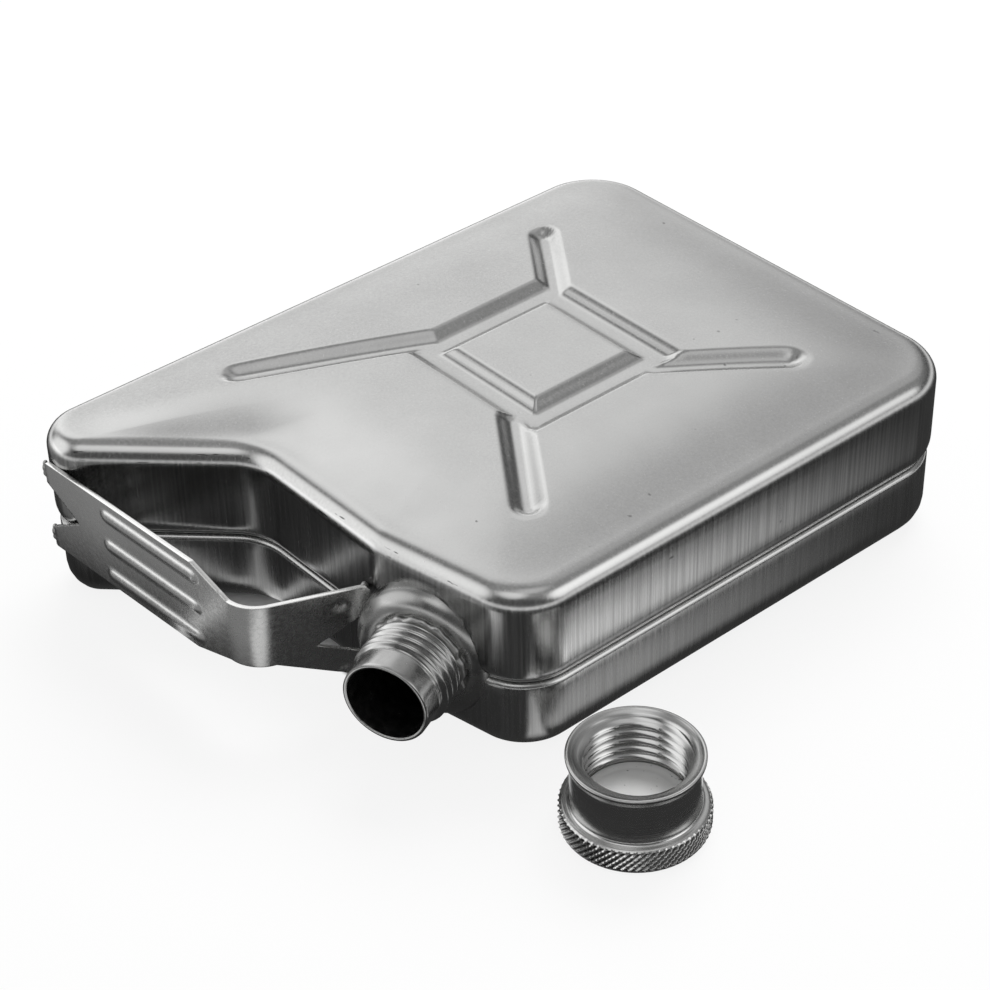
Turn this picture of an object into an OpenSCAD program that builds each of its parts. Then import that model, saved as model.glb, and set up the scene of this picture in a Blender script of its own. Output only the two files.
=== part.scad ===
// Small flask shaped like a fuel can, in stainless steel, lying on its back.
// Two drawn half shells are welded round their rims. A threaded neck tube
// comes out of a collar at one corner, a ribbed strap handle spans a recess
// beside it, and the knurled screw cap stands upside down next to the body.
// +X is across the flask towards the neck side, +Y runs from the neck end to
// the base, and +Z is up. The origin is the middle of the raised square that
// is pressed into the underside and that the flask rests on.

/* [Body] */
// Width of the body
body_w = 90; // [80:1:100]
// Length of the body, from the horn to the base
body_l = 124; // [115:1:135]
// Height of the body's upper edge above the underside
body_h = 31.4; // [28:0.2:36]
// Height of the welded seam above the underside
seam_h = 14.3; // [12:0.1:15]
// Thickness of the sheet in both shells
sheet_t = 0.7; // [0.5:0.1:0.9]
// Rise of the upper face from its edges to its middle
crown_h = 2.6; // [1.8:0.1:3.2]
// Corner radius at the base, in plan
base_corner_r = 12; // [9:0.5:14]
// Corner radius beside the neck, in plan
neck_corner_r = 10.5; // [8:0.5:12]
// Corner radius at the horn, in plan
horn_corner_r = 7.8; // [7:0.1:9]
// Radius of the upper edge
top_edge_r = 2.4; // [1.8:0.1:3]
// Radius of the lower edge
low_edge_r = 5; // [4:0.25:6]

/* [Handle recess] */
// Width of the horn's end, from the side to the slope
horn_w = 10.5; // [9.5:0.25:12]
// Radius where the horn's end turns into the slope
horn_bend_r = 6.3; // [5.8:0.1:7]
// Depth of the recess behind the horn's end
recess_depth = 21.8; // [19:0.2:24]
// Run of the slope between the horn and the recess wall
slope_run = 21.3; // [18:0.5:24]
// Inner radius where the slope meets the recess wall
recess_bend_r = 10.4; // [7:0.2:12]
// Length of the straight recess wall
recess_w = 29.5; // [27:0.5:32]
// How far the neck shoulder slants back over its length
shoulder_rise = 5.7; // [4:0.1:7]
// Radius where the recess wall turns into the shoulder
shoulder_bend_r = 8; // [6:0.5:12]

/* [Rims and seam] */
// How deep the rims are rolled in at the seam
seam_inset = 1.5; // [1:0.1:2]
// Height of the rolled lower edge of the upper shell
roll_h = 2.8; // [2:0.2:4]
// Height of the small rolled edge of the lower shell
low_roll_h = 0.9; // [0.6:0.1:1.5]
// How far the lower shell stands back from the upper shell
low_step = 0.4; // [0.2:0.1:0.7]
// Thickness of the weld between the two rims
seam_weld_t = 0.5; // [0.3:0.1:0.8]

/* [Pressed cross] */
// Depth of the pressed grooves
groove_d = 1; // [0.6:0.1:1.2]
// Width of the square frame groove over its outer edges
frame_w = 33.7; // [30:0.5:37]
// Width of the raised square at its foot
plateau_w = 23.2; // [20:0.5:25]
// Width of the raised square's flat top
plateau_top_w = 19.6; // [17:0.2:22]
// Width of each arm's groove over its edges
arm_w = 7.2; // [6:0.2:8]
// Width of each arm's flat floor
arm_floor_w = 1.8; // [1:0.2:2.6]
// Distance of the cross from the middle of the body towards the base
cross_y = 10; // [6:0.5:13]
// Distance of the cross from the middle of the body towards the handle side
cross_x = 1.6; // [0:0.2:3]

/* [Neck] */
// Inner radius of the neck tube
neck_bore_r = 6.4; // [5.8:0.1:6.6]
// Outer radius of the neck tube
neck_r = 7.1; // [6.9:0.05:7.2]
// Length of the neck outside the wall, along its axis
neck_out = 13.8; // [12.5:0.1:15]
// Length of the neck tube inside the wall
neck_in = 4.6; // [3.6:0.2:6]
// Angle by which the neck leans to its own side
neck_lean = 23.6; // [16:0.2:28]
// Distance from the side of the body to the neck's axis at the wall
neck_side = 18.7; // [17.5:0.1:20]
// Height of the neck's axis above the underside
neck_h = 14.7; // [14:0.1:16]
// Outer radius over the thread
thread_r = 7.9; // [7.6:0.05:8]
// Pitch of the thread
thread_pitch = 1.6; // [1.4:0.05:1.7]
// Number of thread ridges
thread_turns = 4; // [3:1:4]
// Length of the plain sleeve in front of the thread
sleeve_l = 3.8; // [3:0.1:4]
// Radius of the collar at the wall
collar_r = 11.7; // [10.6:0.1:12]
// Length of the collar's rounded front
collar_front = 2; // [1.4:0.1:2.6]
// Radius of the collar's front face
collar_front_r = 9.4; // [9:0.1:10]
// Radius of the weld bead round the neck
neck_weld_r = 0.7; // [0.4:0.1:0.9]

/* [Handle] */
// Height of the strap along its grip
strap_h = 16.6; // [14:0.2:18]
// Height of the strap at its bend
waist_h = 11.4; // [9:0.2:13]
// How much lower the bend's middle lies than the grip's middle
waist_drop = 0.4; // [0:0.1:1.5]
// Thickness of the strap
strap_t = 0.8; // [0.6:0.1:1.2]
// Height of the grip's upper edge below the body's upper edge
strap_drop = 4.8; // [4:0.2:6]
// How far the strap reaches over the rounded horn corner
strap_over = 2.4; // [1:0.2:4]
// Slant of the grip towards the body, over its length
grip_slant = 2.9; // [1:0.1:4]
// Distance of the grip's bend from the side of the body
bend_x = 54.4; // [50:0.2:58]
// Radius of the bend
strap_bend_r = 6; // [4:0.5:8]
// Height of the strap's end at the wall
strap_end_h = 17.6; // [15:0.2:18.5]
// How far the middle of the strap's end lies below the neck's middle
end_drop = 0.9; // [0:0.1:2]
// Gap between the strap's end and the neck's collar
collar_gap = 0.3; // [0.2:0.05:0.6]
// Depth of the notch at the grip end
notch_a = 7.9; // [6:0.1:9]
// Depth of the notch at the wall end
notch_b = 9.5; // [7:0.1:10.5]
// Opening of both notches
notch_w = 9; // [7:0.1:11]
// Number of pressed ribs
rib_count = 3; // [2:1:3]
// Length of the ribs
rib_l = 24; // [20:0.5:26]
// Width of one rib
rib_w = 2.4; // [1.6:0.1:3]
// Height of the ribs over the strap
rib_h = 0.5; // [0.3:0.05:0.7]
// Radius of the tack welds at the strap's ends
tack_r = 0.7; // [0.5:0.05:0.9]

/* [Cap] */
// Radius of the cap's open rim
cap_rim_r = 10.4; // [10:0.1:10.8]
// Radius of the cap's wall
cap_r = 9.8; // [9.5:0.1:10.2]
// Radius over the knurled flange
flange_r = 11.5; // [11:0.1:12.5]
// Height of the knurled flange
flange_h = 4.4; // [3.4:0.1:5]
// Full height of the cap
cap_h = 13.4; // [12.6:0.1:15]
// Depth of the cap's bore
cap_depth = 10; // [9:0.1:10.6]
// Radius of the cap's bore at the thread's root
cap_bore_r = 8.1; // [8.05:0.05:8.4]
// How far the cap's thread stands into its bore
cap_thread_h = 0.5; // [0.3:0.05:0.6]
// Depth of the bevel inside the rim
cap_bevel = 1.7; // [1:0.1:2]
// Thickness of the sealing disc
liner_t = 1; // [0.6:0.1:1.5]
// Distance from the body's side to the cap's axis
cap_beside = 18.5; // [15:0.5:30]
// Distance from the body's middle to the cap's axis, towards the neck end
cap_along = 29.6; // [20:0.2:40]

/* [Hidden] */
$fn = 96;
// steps in a quarter turn of the plan, and from the upper edge to the middle
arc_steps = 10;
crown_steps = 8;
crown_power = 2.6;
bead_fn = 24;
// one overrun for every cut
cut = 1;
// gap between a piece and the welded seat that holds it
seat_gap = 0.02;
// smallest corner radius left where an inset uses up a fillet
keen_r = 0.1;

half_w = body_w / 2;
half_l = body_l / 2;
upper_z0 = seam_h + seam_weld_t / 2;
lower_z1 = seam_h - seam_weld_t / 2;

// Corners of the plan, anticlockwise from the horn, with their radii. The
// horn's two fillets share its width.
slope_turn = atan2(recess_depth, slope_run);
horn_bend = min(horn_bend_r, horn_w / 3 / tan(slope_turn / 2));
horn_corner = min(horn_corner_r, horn_w - horn_bend * tan(slope_turn / 2));
recess_x0 = -half_w + horn_w + slope_run;
recess_x1 = recess_x0 + recess_w;
recess_y = -half_l + recess_depth;
corners = [
    [-half_w, -half_l],
    [-half_w + horn_w, -half_l],
    [recess_x0, recess_y],
    [recess_x1, recess_y],
    [half_w, recess_y + shoulder_rise],
    [half_w, half_l],
    [-half_w, half_l]];
corner_radii = [horn_corner, horn_bend, recess_bend_r, shoulder_bend_r,
    neck_corner_r, base_corner_r, base_corner_r];

function unit(v) = v / norm(v);
function left(v) = [-v[1], v[0]];
function turned(v, a) = [v[0] * cos(a) - v[1] * sin(a), v[0] * sin(a) + v[1] * cos(a)];

// The rounded corner i of the plan, all of it moved inwards by inset
function corner_arc(i, inset) =
    let (
        n = len(corners),
        p = corners[i],
        a = unit(p - corners[(i + n - 1) % n]),
        b = unit(corners[(i + 1) % n] - p),
        turn = atan2(a[0] * b[1] - a[1] * b[0], a * b),
        side = sign(turn),
        r = side > 0 ? max(corner_radii[i] - inset, keen_r) : corner_radii[i] + inset,
        moved = p + inset * (left(a) - a * tan(turn / 2)),
        centre = moved - a * r * tan(abs(turn) / 2) + side * r * left(a),
        steps = max(2, ceil(arc_steps * abs(turn) / 90)))
    [for (k = [0:steps]) centre - side * r * turned(left(a), turn * k / steps)];

function plan(inset) = [for (i = [0:len(corners) - 1]) each corner_arc(i, inset)];
function ring(inset, z) = [for (p = plan(inset)) [p[0], p[1], z]];

// The cross and the crown share one middle
cross_mid = [-cross_x, cross_y];
edge_plan = plan(top_edge_r);

// Moves the flask's own frame, whose origin is the middle of the body, to the
// middle of the cross
module placed() {
    translate([cross_x, -cross_y, 0]) children();
}

// How far a point lies from the cross's middle, as a share of the way to the edge
function crown_share(p) =
    let (
        d = p - cross_mid,
        n = len(edge_plan),
        hits = [for (i = [0:n - 1])
            let (
                e = edge_plan[i] - cross_mid,
                f = edge_plan[(i + 1) % n] - edge_plan[i],
                s = -cross2(d, e) / cross2(d, f))
            if (s >= 0 && s <= 1 && d * (e + s * f) > 0) norm(d) / norm(e + s * f)])
    len(hits) > 0 ? hits[0] : 0;
function cross2(a, b) = a[0] * b[1] - a[1] * b[0];
function crown_z(share) = crown_h * (1 - pow(share, crown_power));
function crown_ring(inset, share, z) =
    [for (p = plan(inset)) let (q = cross_mid + share * (p - cross_mid)) [q[0], q[1], z + crown_z(share)]];

// Skins a stack of rings that all have the same number of points, closed at
// both ends by fans from the cross's middle, which sees every edge of the plan
module skin(rings, top_z) {
    n = len(rings[0]);
    m = len(rings);
    polyhedron(
        points = concat([for (r = rings) each r],
            [[cross_mid[0], cross_mid[1], rings[0][0][2]], [cross_mid[0], cross_mid[1], top_z]]),
        faces = concat(
            [for (i = [0:n - 1]) [i, (i + 1) % n, m * n]],
            [for (k = [0:m - 2], i = [0:n - 1], t = [0, 1])
                let (a = k * n + i, b = k * n + (i + 1) % n)
                t == 0 ? [b, a, b + n] : [b + n, a, a + n]],
            [for (i = [0:n - 1]) [(m - 1) * n + (i + 1) % n, (m - 1) * n + i, m * n + 1]]));
}

// Outer form of the upper half, or the space inside it when inset by the sheet
module upper_form(inset, overrun) {
    edge_z = body_h - top_edge_r;
    z0 = upper_z0;
    under = overrun > 0 ? [ring(seam_inset + inset, z0 - overrun)] : [];
    roll = [for (k = [0:4])
        let (a = 90 * k / 4)
        ring(inset + seam_inset * (1 - sin(a)), z0 + roll_h * (1 - cos(a)))];
    edge = [for (k = [0:4])
        let (a = 80 * k / 4)
        ring(inset + (top_edge_r - inset) * (1 - cos(a)), edge_z + (top_edge_r - inset) * sin(a))];
    face = [for (k = [crown_steps - 1:-1:1])
        crown_ring(top_edge_r, k / crown_steps, body_h - inset)];
    skin(concat(under, roll, edge, face), body_h - inset + crown_h);
}

// Outer form of the lower half, or the space inside it
module lower_form(inset, overrun) {
    r = low_edge_r - inset;
    over = overrun > 0 ? [ring(seam_inset + inset, lower_z1 + overrun)] : [];
    foot = [for (k = [0:5])
        let (a = 90 * k / 5)
        ring(low_step + inset + r * (1 - sin(a)), low_edge_r - r * cos(a))];
    roll = [for (k = [0:3])
        let (a = 90 * k / 3)
        ring(low_step + inset + (seam_inset - low_step) * (1 - cos(a)), lower_z1 - low_roll_h * (1 - sin(a)))];
    skin(concat(foot, roll, over), lower_z1 + overrun);
}

// Where the arms start, as shares of the frame's half width, and where their
// round ends lie, as shares of the body's half width and half length
arm_start_shares = [[-0.86, -0.66], [-0.72, 0.82], [0.90, 0.62], [0.66, -0.92]];
arm_end_shares = [[-0.63, -0.632], [-0.587, 0.387], [0.591, 0.44], [0.609, -0.46]];

// A straight groove with sloping sides and round ends, along +X from the origin
module arm_groove(l, grow) {
    top_r = arm_w / 2 + grow;
    floor_r = arm_floor_w / 2 + grow;
    side = (arm_w - arm_floor_w) / 2;
    // the sides run on above the face at the same slope
    high = cut * side / groove_d;
    for (x = [0, l])
        translate([x, 0, -groove_d - grow])
            cylinder(h = groove_d + grow + cut, r1 = floor_r, r2 = top_r + high);
    rotate([90, 0, 90])
        linear_extrude(l)
            polygon([[-floor_r, -groove_d - grow], [floor_r, -groove_d - grow],
                [top_r + high, cut], [-top_r - high, cut]]);
}

// A square block with sloping sides, from its lower to its upper width
module square_block(low_w, high_w, z0, z1) {
    intersection_for (a = [0, 90])
        rotate(a)
            rotate([90, 0, 0])
                linear_extrude(max(low_w, high_w), center = true)
                    polygon([[-low_w / 2, z0], [low_w / 2, z0], [high_w / 2, z1], [-high_w / 2, z1]]);
}

// The square frame round a raised square, and four arms. crown says whether
// the face that it is pressed into is crowned.
module pressed_cross(grow, crowned) {
    top_z = crowned ? crown_h : 0;
    // the groove's outer slope takes the same run as the raised square's foot
    run = (plateau_w - plateau_top_w) / 2;
    slope = run / groove_d;
    floor_w = frame_w - 2 * run + 2 * grow;
    translate(cross_mid) translate([0, 0, top_z])
        difference() {
            square_block(floor_w, floor_w + 2 * slope * (groove_d + grow + cut),
                -groove_d - grow, cut);
            square_block(plateau_w - 2 * grow + 2 * slope * cut,
                plateau_w - 2 * grow - 2 * slope * (groove_d + grow + cut),
                -groove_d - grow - cut, cut * 2);
        }
    for (i = [0:3]) {
        p = cross_mid + frame_w / 2 * arm_start_shares[i];
        q = cross_mid + [half_w * arm_end_shares[i][0], half_l * arm_end_shares[i][1]];
        d = q - p;
        z0 = crowned ? crown_z(crown_share(p)) : 0;
        z1 = crowned ? crown_z(crown_share(q)) : 0;
        translate([p[0], p[1], z0])
            rotate([0, 0, atan2(d[1], d[0])])
                rotate([0, -atan2(z1 - z0, norm(d)), 0])
                    arm_groove(norm([norm(d), z1 - z0]), grow);
    }
}

// Places its children on the neck's axis: the origin at the mouth's middle,
// +Z pointing back into the flask
wall_x = half_w - neck_side;
wall_y = recess_y + shoulder_rise * (wall_x - recess_x1) / (half_w - recess_x1);
neck_dir = [sin(neck_lean), -cos(neck_lean), 0];
mouth = [wall_x, wall_y, neck_h] + neck_out * neck_dir;
module on_neck() {
    translate(mouth) rotate([-90, 0, neck_lean]) children();
}

// The hole that the collar fills, cut through the wall at the seam
shoulder_turn = atan2(shoulder_rise, half_w - recess_x1);
collar_start = neck_out - collar_r * tan(neck_lean - shoulder_turn) - sheet_t / 4;
collar_end = neck_out + neck_in - sheet_t;
module collar_hole() {
    on_neck()
        translate([0, 0, -cut])
            cylinder(h = collar_end + 2 * cut, r = collar_r + seat_gap);
}

module upper_shell() color("silver") placed()
    difference() {
        upper_form(0, 0);
        translate([0, 0, body_h]) pressed_cross(0, true);
        difference() {
            upper_form(sheet_t, cut);
            translate([0, 0, body_h]) pressed_cross(sheet_t, true);
        }
        collar_hole();
    }

module lower_shell() color("darkgray") placed()
    difference() {
        lower_form(0, 0);
        mirror([0, 0, 1]) pressed_cross(0, false);
        difference() {
            lower_form(sheet_t, cut);
            mirror([0, 0, 1]) pressed_cross(sheet_t, false);
        }
        collar_hole();
    }

module seam_weld() color("gray") placed()
    difference() {
        translate([0, 0, lower_z1])
            linear_extrude(seam_weld_t)
                difference() {
                    polygon(plan(seam_inset));
                    polygon(plan(seam_inset + sheet_t));
                }
        collar_hole();
    }

module neck_collar() color("gray") placed()
    on_neck()
        rotate_extrude()
            polygon(concat(
                [[neck_r + seat_gap, collar_start]],
                [for (k = [0:6])
                    let (a = 15 * k)
                    [collar_front_r + (collar_r - collar_front_r) * sin(a),
                        collar_start + collar_front * (1 - cos(a))]],
                [[collar_r, collar_end],
                    [collar_r - sheet_t, collar_end],
                    [collar_r - sheet_t, collar_start + collar_front],
                    [collar_front_r - sheet_t, collar_start + sheet_t * 2],
                    [neck_r + seat_gap, collar_start + sheet_t * 2]]));

// One ridge of the thread: a rounded bump on a wall of radius r, h high
function ridge(r, h, z, w) =
    [for (k = [0:6]) [r + h * (1 - cos(60 * k)) / 2, z + w * (k / 6 - 1 / 2)]];

module neck_tube() color("gainsboro") placed()
    on_neck()
        rotate_extrude()
            polygon(concat(
                [[neck_bore_r, neck_out + neck_in], [neck_bore_r, lip_r], [neck_bore_r + lip_r, 0],
                    [neck_r, lip_r]],
                [for (k = [0:thread_turns - 1])
                    each ridge(neck_r, thread_r - neck_r, sleeve_l + thread_pitch * (k + 1 / 2), thread_pitch)],
                [[neck_r, neck_out + neck_in]]));
lip_r = (neck_r - neck_bore_r) / 2;

module neck_weld() color("dimgray") placed()
    on_neck()
        translate([0, 0, collar_start])
            rotate_extrude()
                intersection() {
                    translate([neck_r + seat_gap, 0]) circle(r = neck_weld_r, $fn = bead_fn);
                    translate([neck_r + seat_gap, -neck_weld_r]) square(neck_weld_r);
                }

// Plan of the strap's middle line: the grip lies on the horn's round corner,
// bends once and ends just short of the recess wall
grip_turn = atan2(grip_slant, bend_x - horn_corner);
grip_dir = [cos(grip_turn), sin(grip_turn)];
horn_centre = [-half_w + horn_corner, -half_l + horn_corner];
grip_foot = horn_centre - (horn_corner + strap_t / 2 + seat_gap) * left(grip_dir);
grip_start = grip_foot - strap_over * grip_dir;
strap_bend = grip_foot + (bend_x - horn_corner) / cos(grip_turn) * grip_dir;
strap_end = [recess_x1, recess_y - strap_t / 2];
return_dir = unit(strap_end - strap_bend);
grip_len = norm(strap_bend - grip_start);
return_len = norm(strap_end - strap_bend);
bend_turn = atan2(cross2(grip_dir, return_dir), grip_dir * return_dir);
bend_tangent = strap_bend_r * tan(bend_turn / 2);
bend_centre = strap_bend - bend_tangent * grip_dir + strap_bend_r * left(grip_dir);
bend_steps = 12;

// Heights of the strap's edges
strap_z1 = body_h - strap_drop;
strap_z0 = strap_z1 - strap_h;
strap_mid = (strap_z0 + strap_z1) / 2;
waist_z0 = strap_mid - waist_drop - waist_h / 2;
waist_z1 = waist_z0 + waist_h;
end_mid = neck_h - end_drop;
end_z0 = end_mid - strap_end_h / 2;
end_z1 = end_mid + strap_end_h / 2;

// Places its children on the middle plane of the grip or of the return: +X
// along it, +Y up its height and +Z out of its outer face
module on_line(start, dir) {
    translate([start[0], start[1], 0])
        rotate([0, 0, atan2(dir[1], dir[0])]) rotate([90, 0, 0]) children();
}

// The sheet's stations along its plan: where it is, which way is left of it,
// and the heights of its lower and upper edge
grip_flat_l = grip_len - bend_tangent;
waist_x = grip_flat_l - strap_h / 2;
function on_sheet(p, dir, z0, z1) =
    [for (c = [[-1, z0], [1, z0], [1, z1], [-1, z1]])
        let (q = p + c[0] * strap_t / 2 * left(dir))
        [q[0], q[1], c[1]]];
stations = concat(
    [on_sheet(grip_start, grip_dir, strap_z0, strap_z1),
        on_sheet(grip_start + waist_x * grip_dir, grip_dir, strap_z0, strap_z1)],
    [for (k = [0:bend_steps])
        let (a = bend_turn * k / bend_steps)
        on_sheet(bend_centre - strap_bend_r * turned(left(grip_dir), a), turned(grip_dir, a),
            waist_z0, waist_z1)],
    [on_sheet(strap_end, return_dir, end_z0, end_z1)]);

// A V-shaped notch, its point at depth d along +X and its mouth w wide at 0
module notch(d, w) {
    rise = (d + cut) * w / d / 2;
    linear_extrude(strap_t * 2, center = true)
        polygon([[-cut, -rise], [d, 0], [-cut, rise]]);
}

// A pressed rib with round ends, in two steps, rooted in the strap's middle
rib_step_shares = [1, 0.6];
function rib_outline(r) =
    [for (side = [0, 1], k = [0:rib_ends])
        let (a = side * 180 - 90 + 180 * k / rib_ends)
        [(side == 0 ? rib_l - rib_w : 0) + r * cos(a), r * sin(a)]];
rib_ends = 8;
module rib() {
    for (k = [0, 1])
        linear_extrude(strap_t / 2 + rib_h * (k + 1) / 2)
            polygon(rib_outline(rib_w / 2 * rib_step_shares[k]));
}
rib_x = (grip_flat_l + notch_a - rib_l - rib_w) / 2;
rib_gap = (strap_h - 2 * rib_w) / (rib_count - 1);

module handle_strap() color("lightgray") placed() {
    m = len(stations);
    difference() {
        polyhedron(
            points = [for (s = stations) each s],
            faces = concat(
                [[0, 1, 2], [0, 2, 3]],
                [for (k = [0:m - 2], j = [0:3], t = [0, 1])
                    let (a = 4 * k + j, b = 4 * k + (j + 1) % 4)
                    t == 0 ? [b, a, a + 4] : [b, a + 4, b + 4]],
                [[4 * m - 4, 4 * m - 2, 4 * m - 3], [4 * m - 4, 4 * m - 1, 4 * m - 2]]));
        on_line(grip_start, grip_dir) translate([0, strap_mid, 0]) notch(notch_a, notch_w);
        on_line(strap_end, -return_dir) translate([0, end_mid, 0]) notch(notch_b, notch_w);
        // the two tabs stop short of the neck's collar
        on_neck()
            translate([0, 0, collar_start])
                cylinder(h = collar_end, r = collar_r + collar_gap);
    }
    for (k = [0:rib_count - 1])
        on_line(grip_start, grip_dir)
            translate([rib_x, strap_mid + (k - (rib_count - 1) / 2) * rib_gap, 0])
                rib();
}

// Two short beads between the strap's tips and the horn, and one on the outer
// half of each tab, where the strap meets the recess wall
tip_h = (strap_h - notch_w) / 2;
tab_bead_h = (strap_end_h - notch_w) / 4;
bead_off = tack_r + seat_gap;
tip_bead = horn_centre - (strap_over + bead_off) * grip_dir
    - sqrt(pow(horn_corner + bead_off, 2) - pow(strap_over + bead_off, 2)) * left(grip_dir);
tab_foot = strap_end + (strap_t / 2 + bead_off) * left(return_dir);
tab_bead = tab_foot + (recess_y - bead_off - tab_foot[1]) / return_dir[1] * return_dir;
module handle_welds() color("dimgray") placed() {
    for (z = [strap_z0, strap_z1 - tip_h])
        translate([tip_bead[0], tip_bead[1], z])
            cylinder(h = tip_h, r = tack_r, $fn = bead_fn);
    for (z = [end_z0, end_z1 - tab_bead_h])
        translate([tab_bead[0], tab_bead[1], z])
            cylinder(h = tab_bead_h, r = tack_r, $fn = bead_fn);
}

// The cap is turned from one bar, with a waist between its rim and its flange
cap_at = [half_w + cap_beside, -cap_along, 0];
cap_lip = (cap_rim_r - cap_r) / 2;
flange_bevel = (flange_r - cap_r) / 3;
bore_z = cap_h - cap_depth;
cap_thread_z = bore_z + liner_t + cap_thread_h;
cap_turns = floor((cap_h - cap_bevel - cap_thread_z) / thread_pitch);
module cap() color("gray") placed()
    translate(cap_at)
        rotate_extrude()
            polygon(concat(
                [[0, 0], [flange_r - flange_bevel, 0], [flange_r, flange_bevel],
                    [flange_r, flange_h - flange_bevel], [flange_r - flange_bevel, flange_h],
                    [cap_r, flange_h + cap_lip],
                    [cap_r, cap_h - cap_bevel], [cap_rim_r, cap_h - cap_lip],
                    [cap_rim_r, cap_h], [cap_rim_r - cap_lip, cap_h],
                    [cap_bore_r, cap_h - cap_bevel]],
                [for (k = [cap_turns - 1:-1:0])
                    each cap_ridge(cap_thread_z + thread_pitch * (k + 1 / 2))],
                [[cap_bore_r, bore_z], [0, bore_z]]));
function cap_ridge(z) =
    [for (k = [0:6]) [cap_bore_r - cap_thread_h * (1 - cos(60 * k)) / 2, z + thread_pitch * (1 / 2 - k / 6)]];

module cap_liner() color("white") placed()
    translate(cap_at)
        translate([0, 0, bore_z])
            cylinder(h = liner_t, r = cap_bore_r - seat_gap);

upper_shell();
lower_shell();
seam_weld();
neck_collar();
neck_tube();
neck_weld();
handle_strap();
handle_welds();
cap();
cap_liner();
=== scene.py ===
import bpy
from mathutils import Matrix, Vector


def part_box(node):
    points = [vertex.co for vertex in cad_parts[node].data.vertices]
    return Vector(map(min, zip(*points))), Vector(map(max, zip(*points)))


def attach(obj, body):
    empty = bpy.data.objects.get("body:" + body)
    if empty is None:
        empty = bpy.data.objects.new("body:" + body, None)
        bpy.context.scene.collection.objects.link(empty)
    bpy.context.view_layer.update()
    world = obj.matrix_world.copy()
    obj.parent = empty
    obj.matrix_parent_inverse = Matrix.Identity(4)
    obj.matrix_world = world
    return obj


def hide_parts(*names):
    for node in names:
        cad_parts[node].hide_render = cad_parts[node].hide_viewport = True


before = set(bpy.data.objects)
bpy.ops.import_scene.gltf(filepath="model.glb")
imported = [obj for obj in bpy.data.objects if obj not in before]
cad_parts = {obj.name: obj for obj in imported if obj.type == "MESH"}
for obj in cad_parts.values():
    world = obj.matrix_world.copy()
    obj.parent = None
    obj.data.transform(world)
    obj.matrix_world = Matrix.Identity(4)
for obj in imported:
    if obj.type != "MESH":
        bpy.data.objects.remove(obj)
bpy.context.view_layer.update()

import math

import bmesh
import bpy
from mathutils import Matrix, Vector


# Upper shell: the drawn half that carries the crowned face with its pressed
# cross. 0.7 mm stainless sheet, satin on the face and brushed up and down on
# the wall, with its rim rolled in for the seam. The neck's hole is punched.

# Plan of the can, in millimetres: corners and their radii, anticlockwise from
# the horn, and the number of steps along each straight side that follows.
CORNERS = [(-43.4, -72.0, 7.8, 6), (-32.9, -72.0, 6.3, 34), (-11.6, -50.2, 10.4, 30),
           (17.9, -50.2, 8.0, 28), (46.6, -44.5, 10.5, 84), (46.6, 52.0, 12.0, 70),
           (-43.4, 52.0, 12.0, 108)]
# The wall's profile: how far the rim turns in, the feet of its roll and of the
# straight wall, and the edge rolled over by EDGE_TURN degrees under the face.
SEAM_INSET, RIM_FOOT, RIM_H = 1.5, 14.55, 2.8
WALL_FOOT, WALL_TOP, EDGE_R, EDGE_TURN = 17.35, 28.0, 3.4, 80
# The crown: the face's height at its edge, the rise to its middle, how far in
# from the sides it goes on rising, and how softly the sides' shares blend.
EDGE_TOP, CROWN, CROWN_RUN, CROWN_BLEND = 31.4, 2.6, 34, 4
SHEET = 0.0007


def can_plan(inset):
    """Points round the plan, moved inwards by inset, in the same order and number each time."""
    arcs = []
    for i, (px, py, radius, _) in enumerate(CORNERS):
        p = Vector((px, py))
        a = (p - Vector(CORNERS[i - 1][:2])).normalized()
        b = (Vector(CORNERS[(i + 1) % len(CORNERS)][:2]) - p).normalized()
        turn = math.atan2(a.x * b.y - a.y * b.x, a.dot(b))
        left = Vector((-a.y, a.x))
        side = 1 if turn > 0 else -1
        r = max(radius - side * inset, 0.3)
        centre = (p + inset * (left - a * math.tan(turn / 2)) - a * r * math.tan(abs(turn) / 2)
                  + side * r * left)
        steps = max(4, round(abs(turn) / math.radians(4)))
        arcs.append([centre - side * r * (Matrix.Rotation(turn * k / steps, 2) @ left)
                     for k in range(steps + 1)])
    points = []
    for i, arc in enumerate(arcs):
        after = arcs[(i + 1) % len(arcs)][0]
        n = CORNERS[i][3]
        points += arc + [arc[-1].lerp(after, k / n) for k in range(1, n)]
    return points


def ease(t):
    """A smooth rise from 0 to 1."""
    t = min(max(t, 0.0), 1.0)
    return t * t * (3 - 2 * t)


def slope(t):
    """The side of a pressed groove, from 0 to 1: straight, with rounded ends."""
    t = min(max(t, 0.0), 1.0)
    return 0.3 * t + 0.7 * ease(t)


# The cross: a sunken square frame round a raised square, and four sunken arms,
# each from its start to its end. The frame's corners round off from FRAME_BEND.
SQUARE_HALF, FRAME_HALF, FRAME_RUN, FRAME_BEND = 9.5, 17.0, 2.6, 8
ARMS = [((-14.5, -11.1), (-29.6, -39.8)), ((-12.1, 13.8), (-27.9, 25.4)),
        ((15.2, 10.5), (28.2, 28.6)), ((11.1, -15.5), (29.0, -28.4))]
ARM_HALF, ARM_RUN, ARM_FROM = 3.2, 2.7, 10.6
PRESS_DEPTH, PRESS_DEPTH_BELOW = 1.45, 1.0


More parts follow.
